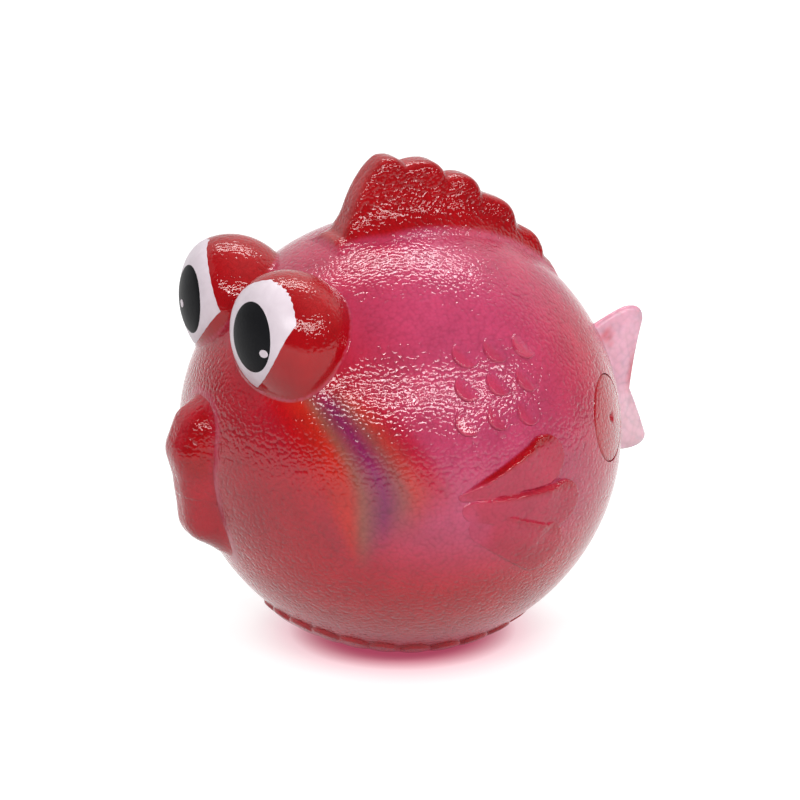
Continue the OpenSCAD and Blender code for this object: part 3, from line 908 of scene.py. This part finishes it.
def make_back_fin():
    low = (-14, -25, MID[2] + 17)
    high = (14, 44, MID[2] + 58)
    verts, faces = surface(rooted(fin_form, FIN_SWEEP), low, high, step=0.5)
    obj = make_piece("back_fin_form", verts, faces, body="back")
    over = from_ball(verts)
    angle = np.degrees(np.arctan2(verts[:, 1], verts[:, 2] - MID[2]))
    # The narrow crest and front are frosted, with shallower pebbles than the flanks and a paler painted sheen
    flank = fade(np.abs(verts[:, 0]), 2, 3.4)
    top = fade(over / fin_envelope(angle), 0.6, 0.9) * (1 - flank)
    front = fade(angle, -7, -12) * (1 - flank)
    colours = mix(DEEP, FROST_SHEEN, np.maximum(0.5 * top, 0.8 * front))
    colours = mix(ball_colours(verts), colours, fade(over, 0.2, 1.2))
    paint(obj, colours, 1.3 - 0.3 * np.maximum(top, front))
    dress(obj, THICK, "back_fin")


make_back_fin()


# The side fins, scales and frill: low reliefs on the skin

SIDE_FIN_L = 26.0
FIN_ROOT = np.array([-0.27, 0.02])
# Lobes: root, its radius, tip and its radius in shares of the length; then the upper and lower edge's heights
FIN_LOBES = [
    (FIN_ROOT, 0.046, np.array([0.37, 0.19]), 0.19, 1.9, 0.5),
    (FIN_ROOT + [0.08, -0.11], 0.096, np.array([0.53, -0.16]), 0.177, 1.5, 0.5),
    (FIN_ROOT + [0.19, -0.25], 0.154, np.array([0.38, -0.477]), 0.21, 1.15, 0.2),
]
# How deep a red the upper edge of each lobe is: thicker rubber there, with painted shade on that steep face
CLIFF_SHARE = [1.0, 0.6, 0.4]
# How deep the edges of a relief run under the skin
SUNK_EDGE = 0.5


def across_lobe(flat, root, root_r, tip, tip_r):
    """Distance to a tapering lobe, the place across it from its upper to its lower edge, and along it."""
    span = tip - root
    length = np.linalg.norm(span)
    along = span / length
    side = np.array([along[1], -along[0]])
    w = flat - root
    t = np.clip(w @ along / length, 0, 1)
    radius = root_r + (tip_r - root_r) * t
    distance = np.linalg.norm(w - t[:, None] * span, axis=1) - radius
    return distance, np.clip((w @ side + radius) / (2 * radius), 0, 1), t


def make_side_fins():
    step = 0.22
    xs = np.arange(-11, 21, step)
    ys = np.arange(-20, 12, step)
    flat = grid_points(xs, ys)
    height = np.full(len(flat), -SUNK_EDGE)
    nearest = np.full(len(flat), FAR)
    cliff = np.zeros(len(flat))
    for (root, root_r, tip, tip_r, high, low), deep in zip(FIN_LOBES, CLIFF_SHARE):
        sizes = [SIDE_FIN_L * value for value in (root, root_r, tip, tip_r)]
        d, across, along = across_lobe(flat, *sizes)
        # A lobe is highest along its upper edge, lower towards its tip, and rises out of the skin at its root
        crown = low + (high - low) * (1 - across) ** 1.3 * (1 - 0.45 * fade(along, 0.8, 1))
        crown = crown * fade(along, -0.15, 0.35)
        upper = fade(across, 0.42, 0.17) * fade(along, 0.97, 0.87)
        lobe = -SUNK_EDGE + (crown + SUNK_EDGE) * smooth((0.25 - d) / (0.5 + 0.8 * upper))
        # The deep red on each lobe's upper edge: partly thicker rubber, partly painted shade on its steep
        # face
        own = deep * fade(across, 0.28, 0.1) * smooth(along * 3)
        cliff = np.where(lobe > height, own, cliff)
        height = np.maximum(height, lobe)
        nearest = np.minimum(nearest, d)
    verts, faces, spot = relief(facing(90, 0), xs, ys, height, nearest < 0.8)
    cliff = cliff[spot]
    colours = mix(ROSE, DEEP, 0.9 * cliff)
    colours = mix(ball_colours(verts), colours, fade(from_ball(verts), -0.1, 0.4) * (0.55 + 0.45 * cliff))
    make_pair("side_fin", verts, faces, colours, 0.8 + 0.6 * cliff, THICK)


make_side_fins()

SCALE_AXES = facing(94, 28.7)
SCALE_D = 6.0
SCALE_RISE = 0.9
SCALE_PITCH_X = 6.3
SCALE_PITCH_Y = 6.2
# How far each row is shifted tailward, as a share of the rows' pitch
SCALE_SHIFT = 0.2
# The way that each scale slopes down, how fast, and the share of its width where it reaches the skin
SCALE_SLOPE = unit([0.24, 0.17])
SLOPE_POWER = 1.5
SLOPE_END = 0.66


def make_scales():
    reach = SCALE_D / 2 + 0.5
    spread = np.arange(-reach, reach + 0.01, 0.16)
    flat = grid_points(spread, spread)
    d = np.linalg.norm(flat, axis=1) - SCALE_D / 2
    down = (flat @ SCALE_SLOPE / SCALE_D + 0.5) / SLOPE_END
    top = SCALE_RISE * np.clip(1 - down, 0, 1) ** SLOPE_POWER - 0.04
    height = -SUNK_EDGE + (top + SUNK_EDGE) * fade(d, 0.2, -0.35)
    all_verts, all_faces = [], []
    count = 0
    for row in (-1, 0, 1):
        for column in (-1, 0, 1):
            up = row * SCALE_PITCH_Y
            back = column * SCALE_PITCH_X + SCALE_SHIFT * up
            verts, faces, _ = relief(SCALE_AXES, back + spread, up + spread, height, d < 0.4)
            all_verts.append(verts)
            all_faces.append(faces + count)
            count += len(verts)
    verts, faces = np.concatenate(all_verts), np.concatenate(all_faces)
    over = from_ball(verts)
    colours = mix(ball_colours(verts), ROSE, 0.3 * fade(over, 0.1, 0.4))
    make_pair("scales", verts, faces, colours, 1 - 0.5 * fade(over, 0, 0.4), SKIN)


make_scales()

FRILL_HALF_W = 18.6
FRILL_HALF_L = 25.1
FRILL_COUNT = 26
FRILL_RISE = 0.9
SCALLOP_R = 0.2 * FRILL_HALF_W
# The lowest that the frill may reach, just above the floor
FRILL_LOWEST = 0.02


def make_frill():
    step = 0.3
    room = 5
    xs = np.arange(-FRILL_HALF_W - room, FRILL_HALF_W + room, step)
    ys = np.arange(-FRILL_HALF_L - room, FRILL_HALF_L + room, step)
    flat = grid_points(xs, ys)
    nearest = np.full(len(flat), FAR)
    for spot in oval(np.zeros(2), 2 * FRILL_HALF_W, 2 * FRILL_HALF_L, 0, FRILL_COUNT):
        nearest = np.minimum(nearest, np.linalg.norm(flat - spot, axis=1))
    d = nearest - SCALLOP_R
    crown = FRILL_RISE * (1 - 0.45 * (nearest / SCALLOP_R) ** 2)
    height = -SUNK_EDGE + (crown + SUNK_EDGE) * fade(d, 0.2, -0.8)
    below = np.array([[0.0, 0.0, -1.0], [1.0, 0.0, 0.0], [0.0, -1.0, 0.0]])
    verts, faces, _ = relief(below, xs, ys, height, d < 0.6)
    verts[:, 2] = np.maximum(verts[:, 2], FRILL_LOWEST)
    obj = make_piece("belly_frill_form", verts, faces)
    colours = mix(ball_colours(verts), DEEP, 0.6 * fade(from_ball(verts), 0.4, 0.7))
    paint(obj, colours, 0.8)
    dress(obj, THICK, "belly_frill")


make_frill()


# The tail

# Red streaks near the top of its root: the middle of each, half its length and its strength
TAIL_STREAKS = [((1.0, 14.2), 3.0, 0.6), ((1.7, 13.4), 2.2, 0.5), ((2.1, 12.1), 1.7, 0.3)]
STREAK_WAY = unit([0.75, 0.66])
STREAK_SIDE = np.array([-STREAK_WAY[1], STREAK_WAY[0]])
STREAK_HALF_W = 1.0


def make_tail():
    low = (-6.5, BALL_R - 11, MID[2] - 16)
    high = (6.5, BALL_R + 13, MID[2] + 21)
    verts, faces = surface(rooted(tail_form, TAIL_SWEEP), low, high, step=0.42)
    obj = make_piece("tail_fin_form", verts, faces)
    flat = tail_plane(verts)
    edge = outline_distance(flat, TAIL_LOOP)
    over = from_ball(verts)
    colours = mix(PALE, PALEST, 0.6 * fade(flat[:, 1], 5, -3))
    for middle, half_length, strength in TAIL_STREAKS:
        along = (flat - middle) @ STREAK_WAY / half_length
        across = (flat - middle) @ STREAK_SIDE / STREAK_HALF_W
        colours = mix(colours, STREAK, strength * fade(np.hypot(along, across), 1, 0))
    # Redder along the edge at the notch, and pink along the whole edge
    notch = fade(np.abs(flat[:, 1] - 0.3 * TAIL_UP), 6, 0)
    colours = mix(colours, STREAK, 0.8 * fade(edge, -2, 0) * notch)
    colours = mix(colours, PINK, 0.35 * fade(edge, -0.6, 0))
    colours = mix(ball_colours(verts), colours, fade(over, -0.1, 1.1))
    paint(obj, colours, 0.8)
    dress(obj, THIN, "tail_fin")


make_tail()


# The plug: a soft disc with a fine rim and an air hole, its neck and sleeve inside the ball

AIR_HOLE_R = 0.45
AIR_HOLE_ROUND = 0.3
SLEEVE_L = 9.5
SLEEVE_BORE_R = 4.52
FLANGE_R = 7.5


def make_plug():
    head_r = SEAT_R - PLUG_GAP
    neck_r = NECK_R - PLUG_GAP
    inner_r = BALL_R - WALL
    rim = math.sqrt(BALL_R**2 - head_r**2)
    mouth_r = AIR_HOLE_R + AIR_HOLE_ROUND
    # From the air hole over the head to its rim, then down the neck and flange to the sleeve and up its bore
    profile = [(AIR_HOLE_R, PLUG_FLOOR - 0.3), (AIR_HOLE_R, BALL_R - 0.5), (mouth_r, BALL_R - 0.12)]
    for share in np.linspace(0.08, 0.93, 18):
        r = mouth_r + (head_r - mouth_r) * share
        profile.append((r, math.sqrt(BALL_R**2 - r**2) + 0.03))
    profile += [(head_r - 0.22, rim + 0.02), (head_r - 0.06, rim - 0.1)]
    profile += [(head_r, rim - 0.3), (head_r, PLUG_FLOOR + 0.05)]
    profile += [(neck_r + 0.2, PLUG_FLOOR + 0.05), (neck_r, PLUG_FLOOR - 0.2), (neck_r, inner_r - 0.35)]
    profile += [(FLANGE_R - 0.1, inner_r - 1.1), (FLANGE_R, inner_r - 2.3), (neck_r, inner_r - 2.6)]
    sleeve_end = PLUG_FLOOR - SLEEVE_L
    profile += [(neck_r, sleeve_end + 0.2), (neck_r - 0.2, sleeve_end)]
    profile += [(SLEEVE_BORE_R, sleeve_end), (SLEEVE_BORE_R, PLUG_FLOOR - 0.3)]
    verts, faces = turned(profile, columns=128)
    obj = make_piece("plug_form", verts, faces, body="squeaker")
    out = np.linalg.norm(np.cross(verts - MID, PLUG_OUT), axis=1)
    colours = mix(ball_colours(verts), ROSE, 0.95)
    colours = mix(colours, DEEP, 0.8 * fade(out, head_r - 0.5, head_r - 0.1))
    paint(obj, colours, 0.9)
    dress(obj, SKIN, "squeaker_plug")


make_plug()

for name in ("squeaker_housing", "squeaker_cap", "reed_block", "reed_clamp", "squeaker_reed"):
    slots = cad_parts[name].data.materials
    slots.clear()
    slots.append(FILM if name == "squeaker_reed" else PLASTIC)


# Camera, light and floor

VIEW_AZ = 65
VIEW_EL = 18
TO_CAMERA, CAMERA_RIGHT, CAMERA_UP = facing(VIEW_AZ, VIEW_EL)
# How far above and left of the ball's middle the camera aims
AIM_UP = 5.82
AIM_LEFT = 0.485
AIM = (MID + AIM_UP * CAMERA_UP - AIM_LEFT * CAMERA_RIGHT) / 1000
CAMERA_DISTANCE = 0.8
LENS = 185.2
# Softboxes: azimuth, elevation, distance, width, height and power
SOFTBOXES = {
    "strip_over": (245, 64, 0.6, 0.5, 0.09, 1.55),
    "strip_front": (42, 35.5, 0.8, 0.55, 0.085, 2.05),
    "strip_side": (78, 37, 0.8, 0.55, 0.085, 2.05),
    "strip_rear": (114, 30.5, 0.8, 0.55, 0.085, 2.05),
    "fill_left": (330, 30, 1.0, 0.8, 0.8, 0.7),
}


def look(obj, target):
    way = Vector(target) - obj.location
    obj.rotation_euler = way.to_track_quat("-Z", "Y").to_euler()


def make_camera():
    data = bpy.data.cameras.new("camera")
    data.lens = LENS
    data.clip_start = 0.01
    camera = bpy.data.objects.new("camera", data)
    bpy.context.scene.collection.objects.link(camera)
    camera.location = Vector(AIM + CAMERA_DISTANCE * TO_CAMERA)
    look(camera, AIM)
    bpy.context.scene.camera = camera


def softbox(name, azimuth, elevation, distance, width, height, power):
    data = bpy.data.lights.new(name, "AREA")
    data.shape = "RECTANGLE"
    data.size = width
    data.size_y = height
    data.energy = power
    lamp = bpy.data.objects.new(name, data)
    bpy.context.scene.collection.objects.link(lamp)
    lamp.location = Vector(MID / 1000 + distance * facing(azimuth, elevation)[0])
    look(lamp, MID / 1000)


# The sweep's height, its edge as cosines, and the light of the room and of the sweep
SWEEP_EL = 12
SWEEP_EDGE = (0.4, 0.56)
ROOM_TO_SWEEP = (0.18, 0.75)


def make_world():
    """A pale sweep behind the toy that ends at the darker room in front of it and above."""
    world = bpy.data.worlds.new("studio")
    world.use_nodes = True
    bpy.context.scene.world = world
    tree = world.node_tree
    back = tree.nodes["Background"]
    back.inputs["Color"].default_value = (1, 1, 1, 1)
    toward = node(tree, "ShaderNodeVectorMath", operation="DOT_PRODUCT")
    toward.inputs[1].default_value = facing(VIEW_AZ + 180, SWEEP_EL)[0]
    tree.links.new(node(tree, "ShaderNodeTexCoord").outputs["Generated"], toward.inputs[0])
    level = ranged(tree, toward.outputs["Value"], *SWEEP_EDGE, *ROOM_TO_SWEEP)
    tree.links.new(level, back.inputs["Strength"])


# The floor's painted contact shadow, tinted pink as painted light through the toy: where it starts and ends
# to fade, and its colours outwards
TINT_START = 0.014
TINT_END = 0.033
TINT_INNER = (0.5, 0.08, 0.15, 1)
TINT_MIDDLE = (0.9, 0.66, 0.71, 1)
FLOOR_WHITE = (0.94, 0.94, 0.94, 1)
TINT_MIDDLE_AT = 0.42
# How much the floor glows near the toy and far from it, between which distances, and how much it reflects
GLOW = (0.76, 0.85)
GLOW_REACH = (0.05, 0.5)
FLOOR_SHADE = 0.52
FLOOR_SIZE = 6
FLOOR_Z = -0.0002


def make_floor():
    bpy.ops.mesh.primitive_plane_add(size=FLOOR_SIZE, location=(0, 0, FLOOR_Z))
    floor = bpy.context.object
    floor.name = "floor"
    material, tree, _ = new_material("white_floor")
    tree.nodes.clear()
    link = tree.links.new
    output = node(tree, "ShaderNodeOutputMaterial")
    reach = node(tree, "ShaderNodeVectorMath", operation="LENGTH")
    link(node(tree, "ShaderNodeTexCoord").outputs["Object"], reach.inputs[0])
    limits = {"From Min": TINT_START, "From Max": TINT_END}
    ramp = node(tree, "ShaderNodeMapRange", interpolation_type="SMOOTHSTEP", **limits)
    link(reach.outputs["Value"], ramp.inputs["Value"])
    # Painted contact shadow under the toy, tinted pink as painted light through it, fading to the white floor
    tint = node(tree, "ShaderNodeValToRGB")
    tint.color_ramp.elements[0].color = TINT_INNER
    tint.color_ramp.elements[1].color = FLOOR_WHITE
    tint.color_ramp.elements.new(TINT_MIDDLE_AT).color = TINT_MIDDLE
    link(ramp.outputs["Result"], tint.inputs["Fac"])
    matt = node(tree, "ShaderNodeBsdfDiffuse")
    glow = node(tree, "ShaderNodeEmission")
    shade = node(tree, "ShaderNodeVectorMath", operation="SCALE", Scale=FLOOR_SHADE)
    link(tint.outputs["Color"], shade.inputs["Vector"])
    link(shade.outputs["Vector"], matt.inputs["Color"])
    # The glow carries the same painted shadow and pink light
    link(tint.outputs["Color"], glow.inputs["Color"])
    rays = node(tree, "ShaderNodeLightPath")
    seen = rays.outputs["Is Camera Ray"]
    for other in ("Is Glossy Ray", "Is Transmission Ray"):
        seen = combined(tree, "MAXIMUM", seen, rays.outputs[other])
    level = ranged(tree, reach.outputs["Value"], *GLOW_REACH, *GLOW)
    link(combined(tree, "MULTIPLY", seen, level), glow.inputs["Strength"])
    both = node(tree, "ShaderNodeAddShader")
    link(matt.outputs["BSDF"], both.inputs[0])
    link(glow.outputs["Emission"], both.inputs[1])
    link(both.outputs["Shader"], output.inputs["Surface"])
    floor.data.materials.append(material)


make_camera()
for name, values in SOFTBOXES.items():
    softbox(name, *values)
make_world()
make_floor()
bpy.context.scene.view_settings.view_transform = "Standard"

bpy.context.view_layer.update()
